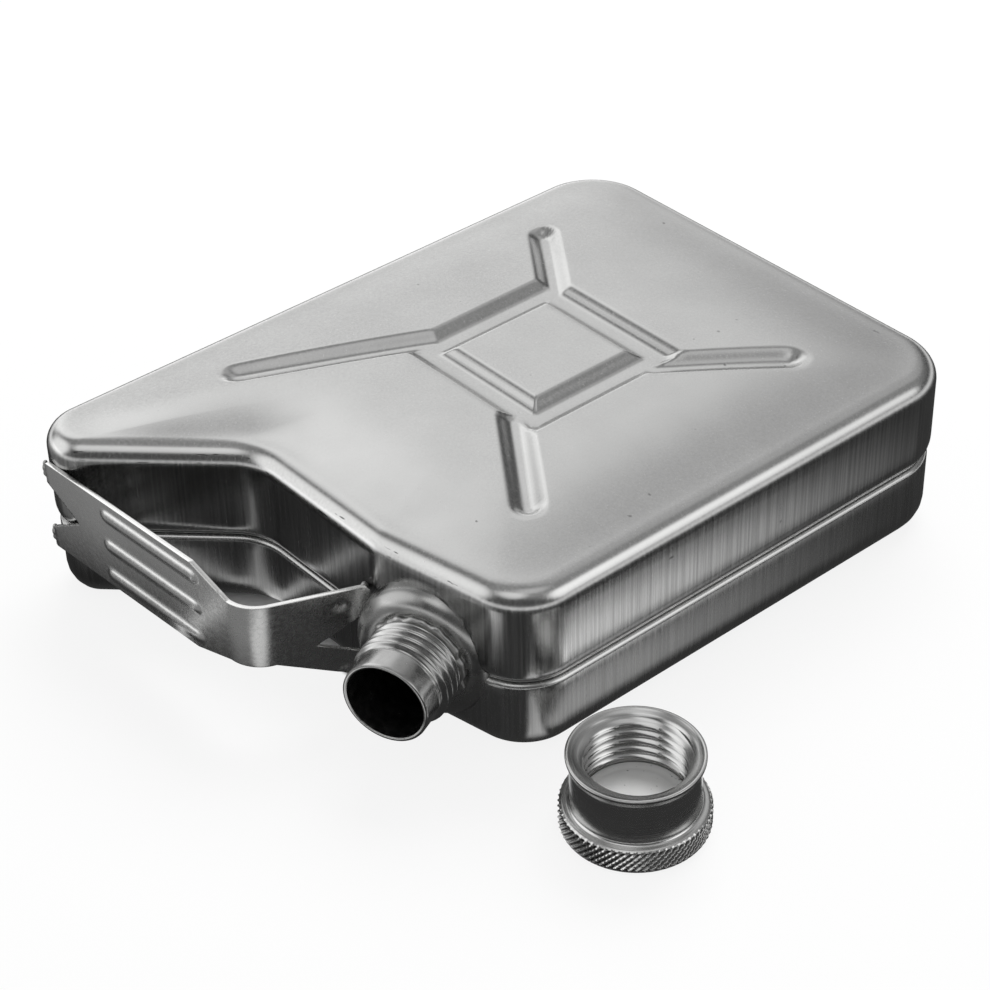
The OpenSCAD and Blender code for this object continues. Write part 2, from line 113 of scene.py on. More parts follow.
def cross_depth(x, y):
    """How deep the pressing lies at a place on the face, as a share of its full depth."""
    d = max(abs(x), abs(y))
    if abs(x) > FRAME_BEND and abs(y) > FRAME_BEND:
        d = max(d, math.hypot(abs(x) - FRAME_BEND, abs(y) - FRAME_BEND) * 0.75 + FRAME_BEND)
    off_square = slope((d - SQUARE_HALF) / FRAME_RUN)
    deep = off_square * slope((FRAME_HALF - d) / FRAME_RUN)
    for (x0, y0), (x1, y1) in ARMS:
        run = Vector((x1 - x0, y1 - y0))
        along = min(max(((x - x0) * run.x + (y - y0) * run.y) / run.length_squared, 0), 1)
        away = math.hypot(x - x0 - along * run.x, y - y0 - along * run.y)
        if d > ARM_FROM:
            deep = max(deep, slope((ARM_HALF - away) / ARM_RUN) * off_square)
    return deep


def crown_height(spot, reach):
    """The height of the crowned face: it rises from the rim with the distance from the sides."""
    near = 0.0
    for (ax, ay, _, _), (bx, by, _, _) in zip(CORNERS, CORNERS[1:] + CORNERS[:1]):
        a, run = Vector((ax, ay)), Vector((bx - ax, by - ay))
        along = min(max((spot - a).dot(run) / run.length_squared, 0), 1)
        near += math.exp(-(spot - a - along * run).length / CROWN_BLEND)
    inward = min(max(-CROWN_BLEND * math.log(near) / CROWN_RUN, 0), 1)
    return EDGE_TOP + CROWN * (1 - (1 - inward) ** 2.2) * (1 - reach ** 8)


def ring_edges(ring):
    """The edges that join neighbours of a ring."""
    return [e for a, b in zip(ring, ring[1:] + ring[:1]) for e in a.link_edges if e.other_vert(a) is b]


def next_ring(bm, ring):
    """Extrudes a ring and gives the new one in the same order."""
    made = bmesh.ops.extrude_edge_only(bm, edges=ring_edges(ring))
    fresh = {v for v in made["geom"] if isinstance(v, bmesh.types.BMVert)}
    return [next(e.other_vert(v) for e in v.link_edges if e.other_vert(v) in fresh) for v in ring]


def ring_wall(profile):
    """A wall that follows the plan: one ring for each (inset, height) of the profile."""
    bm = bmesh.new()
    start = can_plan(profile[0][0])
    bmesh.ops.create_circle(bm, segments=len(start), radius=1)
    rim = list(bm.verts)
    for v, p in zip(rim, start):
        v.co = Vector((p.x, p.y, profile[0][1])) / 1000
    for inset, z in profile[1:]:
        rim = next_ring(bm, rim)
        for v, p in zip(rim, can_plan(inset)):
            v.co = Vector((p.x, p.y, z)) / 1000
    return bm, rim


# The face's rings: this many run from the rim to the cross's frame, and the
# rest lie at these distances from the middle, close together on its slopes.
FACE_RINGS = 40
INNER_RINGS = [16.4, 15.8, 15.3, 14.9, 14.3, 13.6, 12.9, 12.3, 11.8, 11.4,
               11.0, 10.6, 10.2, 9.8, 9.4, 8.8, 7.5, 5.5, 3.5, 1.8]


def press_face(bm, rim, level, depth):
    """Closes a rim with rings that turn from the plan into the frame's square, and presses the cross."""
    outer = [v.co.xy * 1000 for v in rim]
    square = [FRAME_HALF / max(abs(p.x), abs(p.y), 1e-6) * p for p in outer]
    shares = [1 - ease(k / FACE_RINGS) * 0.12 - 0.88 * k / FACE_RINGS for k in range(1, FACE_RINGS + 1)]
    places = [[q + share * (p - q) for p, q in zip(outer, square)] for share in shares]
    places += [[q * ring / FRAME_HALF for q in square] for ring in INNER_RINGS]
    for spots in places:
        rim = next_ring(bm, rim)
        for v, p, spot in zip(rim, outer, spots):
            z = level(spot, spot.length / p.length) - depth * cross_depth(spot.x, spot.y)
            v.co = Vector((spot.x, spot.y, z)) / 1000
    middle = Vector((0, 0, level(Vector((0, 0)), 0))) / 1000
    bmesh.ops.pointmerge(bm, verts=next_ring(bm, rim), merge_co=middle)


# The neck's axis: the middle of the mouth and the way out of it. The hole for
# the collar is round, and lies between two distances back from the mouth.
MOUTH = Vector((0.03342, -0.06086, 0.0147))
OUT = Vector((0.40035, -0.91636, 0))
HOLE_R, HOLE_FROM, HOLE_TO = 0.0096, 0.004, 0.022


def in_collar(p):
    """Whether a place on the wall lies inside the collar's outline."""
    back = (MOUTH - p).dot(OUT)
    return HOLE_FROM < back < HOLE_TO and (p - MOUTH + back * OUT).length < HOLE_R


def punch_neck_hole(bm):
    """Takes out the wall where the collar passes through it."""
    gone = [f for f in bm.faces if in_collar(f.calc_center_median())]
    bmesh.ops.delete(bm, geom=gone, context="FACES")


def finished(bm, name, material, body, replaced, sheet=0.0, smooth=60):
    """Makes the object at the origin, gives it its wall, and rides it on its body."""
    bmesh.ops.remove_doubles(bm, verts=bm.verts, dist=1e-7)
    bmesh.ops.recalc_face_normals(bm, faces=bm.faces)
    mesh = bpy.data.meshes.new(name)
    bm.to_mesh(mesh)
    bm.free()
    piece = bpy.data.objects.new(name, mesh)
    bpy.context.scene.collection.objects.link(piece)
    mesh.materials.append(material)
    mesh.shade_smooth()
    mesh.set_sharp_from_angle(angle=math.radians(smooth))
    if sheet:
        wall = piece.modifiers.new("Sheet", "SOLIDIFY")
        wall.thickness = sheet
        wall.offset = -1
        wall.use_even_offset = False
    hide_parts(*replaced)
    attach(piece, body)
    return piece


def joined(tree, how, *values):
    """One step of arithmetic on sockets or numbers."""
    m = tree.nodes.new("ShaderNodeMath")
    m.operation = how
    for socket, value in zip(m.inputs, values):
        if isinstance(value, (int, float)):
            socket.default_value = value
        else:
            tree.links.new(value, socket)
    return m.outputs["Value"]


def faded(tree, value, start, end, first=0.0, last=1.0, soft=False):
    """A change from first to last as value goes from start to end."""
    m = tree.nodes.new("ShaderNodeMapRange")
    if soft:
        m.interpolation_type = "SMOOTHSTEP"
    for name, number in (("From Min", start), ("From Max", end), ("To Min", first), ("To Max", last)):
        m.inputs[name].default_value = number
    tree.links.new(value, m.inputs["Value"])
    return m.outputs["Result"]


def measured(tree, how, place, other=None):
    """One step on a place in space, with a fixed place beside it where it needs one."""
    m = tree.nodes.new("ShaderNodeVectorMath")
    m.operation = how
    tree.links.new(place, m.inputs[0])
    if other is not None:
        m.inputs[1].default_value = other
    return m.outputs["Value" if how in ("LENGTH", "DISTANCE", "DOT_PRODUCT") else "Vector"]


def axes(tree, place):
    """A place or a direction taken apart into X, Y and Z."""
    m = tree.nodes.new("ShaderNodeSeparateXYZ")
    tree.links.new(place, m.inputs["Vector"])
    return m.outputs


def grained(tree, place, scale, detail):
    """A cloudy grain: scale is one number, or three that stretch it along X, Y and Z."""
    noise = tree.nodes.new("ShaderNodeTexNoise")
    noise.inputs["Detail"].default_value = detail
    if isinstance(scale, tuple):
        stretch = tree.nodes.new("ShaderNodeMapping")
        stretch.inputs["Scale"].default_value = scale
        tree.links.new(place, stretch.inputs["Vector"])
        place, scale = stretch.outputs["Vector"], 1.0
    noise.inputs["Scale"].default_value = scale
    tree.links.new(place, noise.inputs["Vector"])
    return noise.outputs["Fac"]


# Where the shells are marked, in metres: painted shade darkens the front walls
# from one Y to the other, and nicks lie in front of a Y, on the rolled edge's heights.
FRONT_SHADE_Y, FRONT_SHADE = (-0.0475, -0.0445), 0.42
NICKED_Y, NICKED_FROM, NICKED_TO = -0.046, (0.0286, 0.0290), 0.0303


def worn_and_shaded(tree, place, tone, upright):
    """The shells' marks of use, pits and nicks on the front's rolled edge, and painted shade on the front
    walls.
    """
    _, y, z = axes(tree, place)
    pits = faded(tree, grained(tree, place, 420.0, 1.0), 0.79, 0.83, 1.0, 0.45)
    tone = joined(tree, "MULTIPLY", tone, pits)
    # painted shade: round the handle and the neck the front walls are darker
    front_shade = joined(tree, "MULTIPLY", faded(tree, y, *FRONT_SHADE_Y, FRONT_SHADE, 0.0), upright)
    tone = joined(tree, "MULTIPLY", tone, joined(tree, "SUBTRACT", 1.0, front_shade))
    nicks = faded(tree, grained(tree, place, (260, 260, 1700), 2.0), 0.65, 0.70)
    on_edge = joined(tree, "MULTIPLY", faded(tree, z, *NICKED_FROM), joined(tree, "LESS_THAN", z, NICKED_TO))
    on_front = joined(tree, "MULTIPLY", on_edge, joined(tree, "LESS_THAN", y, NICKED_Y))
    cut = joined(tree, "MULTIPLY", nicks, on_front)
    return joined(tree, "MULTIPLY", tone, joined(tree, "MULTIPLY_ADD", cut, -0.8, 1.0))


def steel(name, colour, roughness, grain, spread, bump, mottle=0.05, streak=0.0):
    """Stainless steel: grain is how fine its brushing is along X, Y and Z.

    Spread and bump are how much the brushing changes the gloss and the surface,
    and mottle and streak how much the tone changes in clouds and on the walls.
    """
    m = bpy.data.materials.new(name)
    m.use_nodes = True
    tree = m.node_tree
    place = tree.nodes.new("ShaderNodeTexCoord").outputs["Object"]
    lines = grained(tree, place, grain, 4.0)
    tone = faded(tree, grained(tree, place, 90.0, 3.0), 0.3, 0.7, -mottle, mottle)
    if streak:
        # coarse upright streaks, on the walls alone
        facing = axes(tree, tree.nodes.new("ShaderNodeNewGeometry").outputs["Normal"])
        upright = faded(tree, joined(tree, "ABSOLUTE", facing["Z"]), 0.15, 0.5, 1.0, 0.0)
        strokes = faded(tree, grained(tree, place, (2300, 2300, 14), 3.0), 0.35, 0.65, -streak, streak)
        tone = joined(tree, "ADD", joined(tree, "MULTIPLY", strokes, upright), tone)
    tone = joined(tree, "ADD", tone, faded(tree, lines, 0.3, 0.7, 0.95, 1.05))
    # with the streaks come pits, nicks and the painted shade on the front walls
    if streak:
        tone = worn_and_shaded(tree, place, tone, upright)
    shade = tree.nodes.new("ShaderNodeHueSaturation")
    shade.inputs["Color"].default_value = (*colour, 1)
    relief = tree.nodes.new("ShaderNodeBump")
    relief.inputs["Strength"].default_value = bump
    relief.inputs["Distance"].default_value = 0.0002
    shader = tree.nodes["Principled BSDF"]
    shader.inputs["Metallic"].default_value = 1.0
    gloss = faded(tree, lines, 0.25, 0.75, roughness - spread, roughness + spread)
    for source, socket in ((tone, shade.inputs["Value"]),
                           (shade.outputs["Color"], shader.inputs["Base Color"]),
                           (gloss, shader.inputs["Roughness"]), (lines, relief.inputs["Height"]),
                           (relief.outputs["Normal"], shader.inputs["Normal"])):
        tree.links.new(source, socket)
    return m


satin = steel("Satin_steel", (0.535, 0.535, 0.53), roughness=0.23, grain=(2600, 2600, 110), spread=0.05,
              bump=0.015, mottle=0.035, streak=0.16)

quarter = [math.radians(90 * k / 6) for k in range(7)]
edge_turns = [math.radians(EDGE_TURN * k / 10) for k in range(11)]
rim_roll = [(SEAM_INSET * (1 - math.sin(a)), RIM_FOOT + RIM_H * (1 - math.cos(a))) for a in quarter]
wall_rise = [(0.0, WALL_FOOT + (WALL_TOP - WALL_FOOT) * k / 6) for k in range(1, 6)]
edge_roll = [(EDGE_R * (1 - math.cos(a)), WALL_TOP + EDGE_R * math.sin(a)) for a in edge_turns]
upper, rim = ring_wall(rim_roll + wall_rise + edge_roll)
press_face(upper, rim, crown_height, PRESS_DEPTH)
punch_neck_hole(upper)
finished(upper, "Upper_shell", satin, "flask", ["upper_shell"], sheet=SHEET)


# Lower shell: the shallower drawn half that the flask lies on, of the same
# sheet and finish, with the same cross pressed into its flat face and its rim
# turned in to meet the upper one.
LOW_INSET, LOW_EDGE_R = 0.4, 5.0
LOW_WALL_TOP, LOW_RIM_TOP, LOW_RIM_IN, LOW_RIM_H = 13.15, 14.05, 1.1, 0.9
low_rim = [(LOW_INSET + LOW_RIM_IN * (1 - math.sin(a)), LOW_RIM_TOP - LOW_RIM_H * (1 - math.cos(a)))
           for a in quarter]
low_wall = [(LOW_INSET, LOW_WALL_TOP + (LOW_EDGE_R - LOW_WALL_TOP) * k / 5) for k in range(1, 5)]
foot_roll = [(LOW_INSET + LOW_EDGE_R * (1 - math.cos(a)), LOW_EDGE_R - LOW_EDGE_R * math.sin(a))
             for a in quarter]
lower, rim = ring_wall(low_rim + low_wall + foot_roll)
press_face(lower, rim, lambda spot, reach: 0.0, -PRESS_DEPTH_BELOW)
punch_neck_hole(lower)
# the upper shell's steel, a little rougher, and darker as painted shade
shaded_satin = steel("Satin_steel_below_shaded", (0.50, 0.50, 0.495), roughness=0.25, grain=(2600, 2600, 110),
               spread=0.05, bump=0.015, mottle=0.05, streak=0.10)
finished(lower, "Lower_shell", shaded_satin, "flask", ["lower_shell"], sheet=SHEET)


# Seam weld: the fused line at the bottom of the groove between the two rims,
# a little uneven and duller than the sheet. It stops where the collar starts.
fused = steel("Fused_steel", (0.42, 0.42, 0.415), roughness=0.38, grain=(900, 900, 900), spread=0.10,
              bump=0.45, mottle=0.15)
bead_line = [(2.2, 14.05), (1.35, 14.05), (1.1, 14.3), (1.35, 14.55), (2.2, 14.55)]
seam, rim = ring_wall(bead_line)
bmesh.ops.bridge_loops(seam, edges=[e for e in seam.edges if e.is_boundary])
stations = list(zip(*[[Vector((p.x, p.y, z)) / 1000 for p in can_plan(inset)] for inset, z in bead_line]))
cut = {tuple(v) for station in stations if in_collar(station[2]) for v in station}
bmesh.ops.delete(seam, geom=[v for v in seam.verts if tuple(v.co) in cut], context="VERTS")
bmesh.ops.holes_fill(seam, edges=[e for e in seam.edges if e.is_boundary])
finished(seam, "Seam_weld", fused, "flask", ["seam_weld"])


# Neck collar: a drawn boss, flared at its foot, that leans out of the corner
# and carries the neck tube. Steel scorched and roughened by the weld.
def turned(profile, steps=128):
    """A closed outline of (radius, height), turned round Z."""
    bm = bmesh.new()
    line = [bm.verts.new((r / 1000, 0, z / 1000)) for r, z in profile]
    edges = [bm.edges.new((a, b)) for a, b in zip(line, line[1:])]
    bmesh.ops.spin(bm, geom=line + edges, cent=(0, 0, 0), axis=(0, 0, 1), angle=math.tau,
                   steps=steps, use_merge=True)
    bmesh.ops.remove_doubles(bm, verts=bm.verts, dist=1e-7)
    return bm


def set_on_neck(bm):
    """Turns a piece made round Z onto the neck: its Z runs from the mouth into the flask."""
    turn = (-OUT).to_track_quat("Z", "Y").to_matrix().to_4x4()
    bmesh.ops.transform(bm, matrix=Matrix.Translation(MOUTH) @ turn, verts=bm.verts)


FLARE_R, FLARE_RUN, FLARE_Z, FLARE_H = 8.4, 3.3, 11.05, 3.0
flare = [(FLARE_R + FLARE_RUN * math.sin(a), FLARE_Z + FLARE_H * (1 - math.cos(a))) for a in quarter]
boss = [(7.15, 11.25)] + flare
boss += [(11.7, 17.7), (11.0, 17.7), (11.0, 13.1), (8.7, 12.4), (7.15, 12.4), (7.15, 11.25)]
collar = turned(boss)
set_on_neck(collar)
scorched = steel("Scorched_steel", (0.40, 0.40, 0.395), roughness=0.27, grain=(420, 420, 420),
                 spread=0.08, bump=0.10, mottle=0.22)
finished(collar, "Neck_collar", scorched, "flask", ["neck_collar"], smooth=40)


# Neck tube: thin turned tube of bright steel, with a plain sleeve and rounded
# lip at the mouth and a thread of four turns behind it.
BORE_R, TUBE_R, TUBE_END, LIP = 6.4, 7.1, 18.4, 0.35
PITCH, THREAD_H, THREAD_FROM, THREAD_TO = 1.6, 0.8, 3.8, 10.6
lip = [(BORE_R, LIP), (6.45, LIP / 3), (6.6, 0.05), (6.75, 0.0), (6.92, 0.06), (7.05, LIP / 3),
       (TUBE_R, LIP)]
sleeve = [(TUBE_R, 0.6 + 0.1 * k) for k in range(179)]
tube = turned([(BORE_R, TUBE_END), (BORE_R, 9.0)] + lip + sleeve + [(BORE_R, TUBE_END)], steps=144)
for v in tube.verts:
    r, z = v.co.xy.length * 1000, v.co.z * 1000
    if r > 7.05 and 3.0 < z < 12.0:
        turns = (z - THREAD_FROM) / PITCH - math.atan2(v.co.y, v.co.x) / math.tau
        ridge = THREAD_H * (0.5 - 0.5 * math.cos(math.tau * turns))
        ridge *= ease((z - THREAD_FROM) / 1.2) * ease((THREAD_TO - z) / 1.0)
        v.co.xy *= (r + ridge) / r
set_on_neck(tube)
bright = steel("Turned_steel", (0.46, 0.46, 0.455), roughness=0.22, grain=(900, 900, 900), spread=0.06,
               bump=0.03, mottle=0.20)
finished(tube, "Neck_tube", bright, "flask", ["neck_tube"], smooth=50)


# Neck weld: the rough bead of fused steel that joins the tube to its collar.
# It was laid by hand, so it is lumpy all round.
BEAD_R, BEAD_Z = 7.14, 10.3
bead_arc = [(BEAD_R + 0.95 * math.sin(2 * a), BEAD_Z + 0.55 * (1 - math.cos(2 * a))) for a in quarter[1:]]
bead = turned([(BEAD_R, BEAD_Z)] + bead_arc + [(BEAD_R, BEAD_Z)], steps=120)
for v in bead.verts:
    around = math.atan2(v.co.y, v.co.x)
    if v.co.xy.length > 0.0072:
        v.co.xy *= (1 + 0.020 * math.sin(around * 13) + 0.015 * math.sin(around * 22 + 1)
                    + 0.015 * math.sin(around * 3 + 2))
set_on_neck(bead)
finished(bead, "Neck_weld", fused, "flask", ["neck_weld"])


# Handle strap: one strip of 0.8 mm steel, sheared with a V notch at each end
# and a narrow waist, pressed with three ribs, bent once over a 6 mm radius and
# tack welded. The sheared edges are smoother, and lighter by a painted highlight; the faces satin.
GRIP_START, GRIP_DIR = Vector((-37.485, -72.553)), Vector((0.99807, 0.0621))
CORNER, RETURN_DIR = Vector((11.51, -69.504)), Vector((0.3202, 0.9473))
# where the grip, the bend and the strip end along it, and the bend's tangent
GRIP_END, BEND_END, STRAP_END, BEND_R, BEND_TANGENT = 45.06, 52.16, 68.08, 6.0, 4.03
RIBS = [(15.7, 37.2, z) for z in (12.4, 18.3, 24.2)]
RIB_HALF, RIB_RUN, RIB_H = 1.35, 1.1, 0.5
DIMPLES = [(62.9, 20.3), (62.9, 8.6)]
DIMPLE_HALF, DIMPLE_RUN, DIMPLE_H = 1.25, 0.8, 0.35
# spacing of the cuts that give the flat strip its mesh
CUT_S, CUT_Z, CUT_FROM_Z = 0.48, 0.37, 5


def strap_place(s, z, outward):
    """The place in space of a point s along the flat strip and z high."""
    if s <= GRIP_END:
        spot, way = GRIP_START + s * GRIP_DIR, GRIP_DIR
    elif s <= BEND_END:
        way = Matrix.Rotation((s - GRIP_END) / BEND_R, 2) @ GRIP_DIR
        centre = GRIP_START + GRIP_END * GRIP_DIR + BEND_R * Vector((-GRIP_DIR.y, GRIP_DIR.x))
        spot = centre + BEND_R * Vector((way.y, -way.x))
    else:
        spot, way = CORNER + (s - BEND_END + BEND_TANGENT) * RETURN_DIR, RETURN_DIR
    spot = spot + outward * Vector((way.y, -way.x))
    return Vector((spot.x, spot.y, z)) / 1000


strip = bmesh.new()
outline = [(0.25, 10.0), (36.8, 10.0), (45.0, 12.2), (52.2, 12.2), (66.6, 5.3), (67.5, 5.5), (67.95, 6.0),
           (STRAP_END, 6.8), (STRAP_END, 8.3), (67.2, 9.3), (66.7, 9.95), (58.6, 13.8), (65.7, 17.2),
           (66.1, 18.3), (66.8, 19.5), (67.5, 20.5), (67.95, 21.1), (67.85, 21.8), (67.4, 22.4),
           (66.6, 22.74), (52.2, 23.6), (45.0, 23.6), (36.8, 26.6), (0.25, 26.6), (0.0, 26.3),
           (0.0, 22.8), (7.9, 18.3), (0.0, 13.8), (0.0, 10.3)]
strip.faces.new([strip.verts.new((s, z, 0)) for s, z in outline])
cuts = [((k * CUT_S, 0, 0), (1, 0, 0)) for k in range(1, 142)]
cuts += [((0, CUT_FROM_Z + k * CUT_Z, 0), (0, 1, 0)) for k in range(1, 60)]
for spot, way in cuts:
    bmesh.ops.bisect_plane(strip, geom=strip.verts[:] + strip.edges[:] + strip.faces[:], dist=1e-5,
                           plane_co=spot, plane_no=way)
bmesh.ops.remove_doubles(strip, verts=strip.verts, dist=0.03)
for v in strip.verts:
    s, z = v.co.xy
    push = 0.0
    for s0, s1, mid in RIBS:
        away = math.hypot(s - min(max(s, s0), s1), z - mid)
        push = max(push, RIB_H * ease((RIB_HALF - away) / RIB_RUN))
    for s0, mid in DIMPLES:
        push -= DIMPLE_H * ease((DIMPLE_HALF - math.hypot(s - s0, z - mid)) / DIMPLE_RUN)
    v.co = strap_place(s, z, push)
satin_strap = steel("Strap_steel", (0.54, 0.54, 0.535), roughness=0.27, grain=(1500, 1500, 1500),
                    spread=0.06, bump=0.09, mottle=0.08)
# sheared edges: a colour far lighter than steel's own, a painted highlight
sheared_and_highlit = steel("Sheared_edge_highlit", (0.86, 0.86, 0.85), roughness=0.22, grain=(2500, 2500, 300), spread=0.05,
                bump=0.05)
strap = finished(strip, "Handle_strap", satin_strap, "flask", ["handle_strap"], smooth=35)
gauge = strap.modifiers.new("Gauge", "SOLIDIFY")
gauge.thickness = 0.0008
gauge.offset = 0
gauge.material_offset_rim = 1
strap.data.materials.append(sheared_and_highlit)
shear = strap.modifiers.new("Shear", "BEVEL")
shear.width = 0.00014
shear.segments = 2
shear.limit_method = "ANGLE"
shear.angle_limit = math.radians(50)


# Handle welds: four small tack welds, two between the strap's tips and the
# horn and two where its tabs meet the recess wall. Fused steel.
TACK_R, TACK_IN = 0.6, 0.7


def tack(x, y, z0, z1):
    """A short vertical bead, lumpy along its length."""
    bm = bmesh.new()
    bmesh.ops.create_icosphere(bm, subdivisions=4, radius=1)
    for v in bm.verts:
        lump = 1 + 0.10 * math.sin(v.co.z * 9 + x) + 0.06 * math.sin(v.co.x * 7 + v.co.y * 5)
        v.co = Vector((x + TACK_R * lump * v.co.x, y + TACK_R * lump * v.co.y,
                       (z0 + z1) / 2 + (z1 - z0) / 2 * v.co.z)) / 1000
    return bm


low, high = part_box("handle_welds")
tip = (low.x * 1000 + TACK_IN, low.y * 1000 + TACK_IN)
tab = (high.x * 1000 - TACK_IN, high.y * 1000 - TACK_IN)
tacks = [(tip, 10.2, 13.6), (tip, 23.0, 26.4), (tab, 5.1, 7.1), (tab, 20.5, 22.5)]
for i, (spot, z0, z1) in enumerate(tacks):
    replaced = ["handle_welds"] if i == 0 else []
    finished(tack(*spot, z0, z1), f"Handle_weld_{i + 1}", fused, "flask", replaced)


# Cap: turned from bar, standing upside down. Its flange is knurled with crossed
# grooves, its waist shows fine turning marks, and its bore carries the thread.
CAP_AXIS = (0.0651, -0.0396, 0)
KNURL_COUNT, KNURL_RISE, KNURL_DEPTH, KNURL_HALF = 64, 1.15, 0.45, 0.4
CAP_THREAD_H, CAP_THREAD_FROM, CAP_THREAD_TO = 0.95, 4.6, 13.1
flange = [(0.0, 0.0), (6.0, 0.0), (10.6, 0.0), (10.95, 0.08), (11.25, 0.3), (11.42, 0.57)]
flange += [(11.5, 0.57 + 3.26 * k / 22) for k in range(1, 22)]
flange += [(11.42, 3.83), (11.25, 4.1), (10.95, 4.32), (10.7, 4.4), (10.45, 4.4)]
waist = [(10.15, 4.46), (9.93, 4.65), (9.82, 4.95)] + [(9.8, 5.3 + 6.0 * k / 10) for k in range(11)]
waist += [(9.84, 11.7), (9.98, 12.15), (10.22, 12.6), (10.38, 12.9)]
mouth = [(10.4, 13.05), (10.4, 13.32), (10.33, 13.4), (9.98, 13.4), (9.9, 13.36), (9.75, 13.26),
         (9.5, 13.12), (9.25, 12.98), (9.0, 12.8), (8.8, 12.6), (8.65, 12.4)]
bore = [(8.6, 12.2 - 0.2 * k) for k in range(37)]
seat = [(8.5, 4.85), (8.3, 4.7), (8.1, 4.6), (8.1, 4.2), (8.1, 3.8), (8.1, 3.4), (5.0, 3.4), (0.0, 3.4)]
cap = turned(flange + waist + mouth + bore + seat, steps=576)
for v in cap.verts:
    r, z = v.co.xy.length * 1000, v.co.z * 1000
    around = math.atan2(v.co.y, v.co.x) / math.tau
    if r > 11.3 and 0.5 < z < 3.9:
        one, two = around * KNURL_COUNT - z / KNURL_RISE, around * KNURL_COUNT + z / KNURL_RISE
        groove = max(1 - abs(one % 1 - 0.5) / KNURL_HALF, 0.35 - abs(two % 1 - 0.5) / KNURL_HALF, 0)
        v.co.xy *= (r - KNURL_DEPTH * groove) / r
    elif 8.4 < r < 9.3 and CAP_THREAD_FROM < z < 13.2:
        ridge = CAP_THREAD_H * (0.5 + 0.5 * math.cos(math.tau * (z / PITCH - around)))
        ridge *= ease((CAP_THREAD_TO - z) / 0.8) * ease((z - CAP_THREAD_FROM) / 0.8)
        v.co.xy *= (r - ridge) / r
bmesh.ops.translate(cap, vec=CAP_AXIS, verts=cap.verts)
machined = steel("Machined_steel", (0.56, 0.56, 0.555), roughness=0.22, grain=(60, 60, 4200), spread=0.06,
                 bump=0.06, mottle=0.08)
# painted shade in the grooves of the knurl and painted highlight on its crests: below
# the flange's top, near its rim, the tone follows the distance from the cap's axis
tree = machined.node_tree
where = tree.nodes.new("ShaderNodeTexCoord").outputs["Object"]
level = measured(tree, "MULTIPLY", measured(tree, "SUBTRACT", where, CAP_AXIS), (1, 1, 0))
radius = measured(tree, "LENGTH", level)
knurled = joined(tree, "MULTIPLY", joined(tree, "LESS_THAN", axes(tree, where)["Z"], 0.0040),
                 joined(tree, "GREATER_THAN", radius, 0.0109))
groove_shade = tree.nodes.new("ShaderNodeMix")
groove_shade.inputs["A"].default_value = 1.0
tree.links.new(knurled, groove_shade.inputs["Factor"])
tree.links.new(faded(tree, radius, 0.01108, 0.01150, 0.12, 1.6), groove_shade.inputs["B"])
tint = tree.nodes["Hue/Saturation/Value"].inputs["Value"]
tree.links.new(joined(tree, "MULTIPLY", tint.links[0].from_socket, groove_shade.outputs["Result"]), tint)
finished(cap, "Cap", machined, "cap", ["cap"], smooth=50)


# Sealing disc: a pale plastic washer pressed into the bottom of the cap, with
# the faint ring that the neck's lip leaves in it, and a few dark crumbs.
disc = turned([(0.0, 3.4), (8.0, 3.4), (8.06, 3.5), (8.06, 4.2), (7.95, 4.33), (7.6, 4.36), (7.2, 4.3),
               (6.9, 4.24), (6.6, 4.24), (6.3, 4.3), (5.9, 4.37), (3.0, 4.4), (0.0, 4.4)], steps=96)
bmesh.ops.translate(disc, vec=CAP_AXIS, verts=disc.verts)
pale = bpy.data.materials.new("Pale_plastic")
pale.use_nodes = True
tree = pale.node_tree
matt = tree.nodes["Principled BSDF"]
matt.inputs["Roughness"].default_value = 0.55
where = tree.nodes.new("ShaderNodeTexCoord").outputs["Object"]
stain = tree.nodes.new("ShaderNodeValToRGB")
stain.color_ramp.elements[0].color = (0.82, 0.82, 0.81, 1)
stain.color_ramp.elements[1].color = (0.93, 0.93, 0.92, 1)
tree.links.new(grained(tree, where, 400, 2.0), stain.inputs["Fac"])
crumbs = faded(tree, grained(tree, where, 1500, 1.0), 0.70, 0.76, 1.0, 0.35)
dirty = tree.nodes.new("ShaderNodeHueSaturation")
tree.links.new(stain.outputs["Color"], dirty.inputs["Color"])
tree.links.new(crumbs, dirty.inputs["Value"])
tree.links.new(dirty.outputs["Color"], matt.inputs["Base Color"])
finished(disc, "Sealing_disc", pale, "cap", ["cap_liner"], smooth=40)


# Studio: a plain pale floor in a white room, lit by one large soft lamp. The
# metal sees something else: a dark room with softboxes, and a floor that is
# dark close round the flask, with strips of light that draw its corners.
bpy.ops.mesh.primitive_plane_add(size=6)
floor = bpy.context.object
floor.name = "Floor"
paper = bpy.data.materials.new("Floor_paper")
paper.use_nodes = True
tree = paper.node_tree
plain = tree.nodes["Principled BSDF"]
plain.inputs["Base Color"].default_value = (0.8, 0.8, 0.8, 1)
plain.inputs["Roughness"].default_value = 0.9
rays = tree.nodes.new("ShaderNodeLightPath").outputs
spot = tree.nodes.new("ShaderNodeTexCoord").outputs["Object"]
floor_x, floor_y, _ = axes(tree, spot)
# the share of pure white that the camera sees in place of the lit paper
WHITE_SHARE = 0.86
# strips of light: start, way, width, strength, length, and the tail it fades over
STRIPS = [(0.0650, -0.040, (0, 1), 0.005, 1.30, 0.0, 0.118),
          (0.0535, -0.040, (0, 1), 0.004, 0.50, 0.0, 0.090),
          (-0.0115, -0.048, (-0.10, -1), 0.0014, 0.9, 0.09, 0.008),
          (0.046, -0.041, (0.88, -0.47), 0.003, 0.6, 0.016, 0.008),
          (0.018, -0.0825, (1, 0), 0.010, 0.9, 0.028, 0.008)]


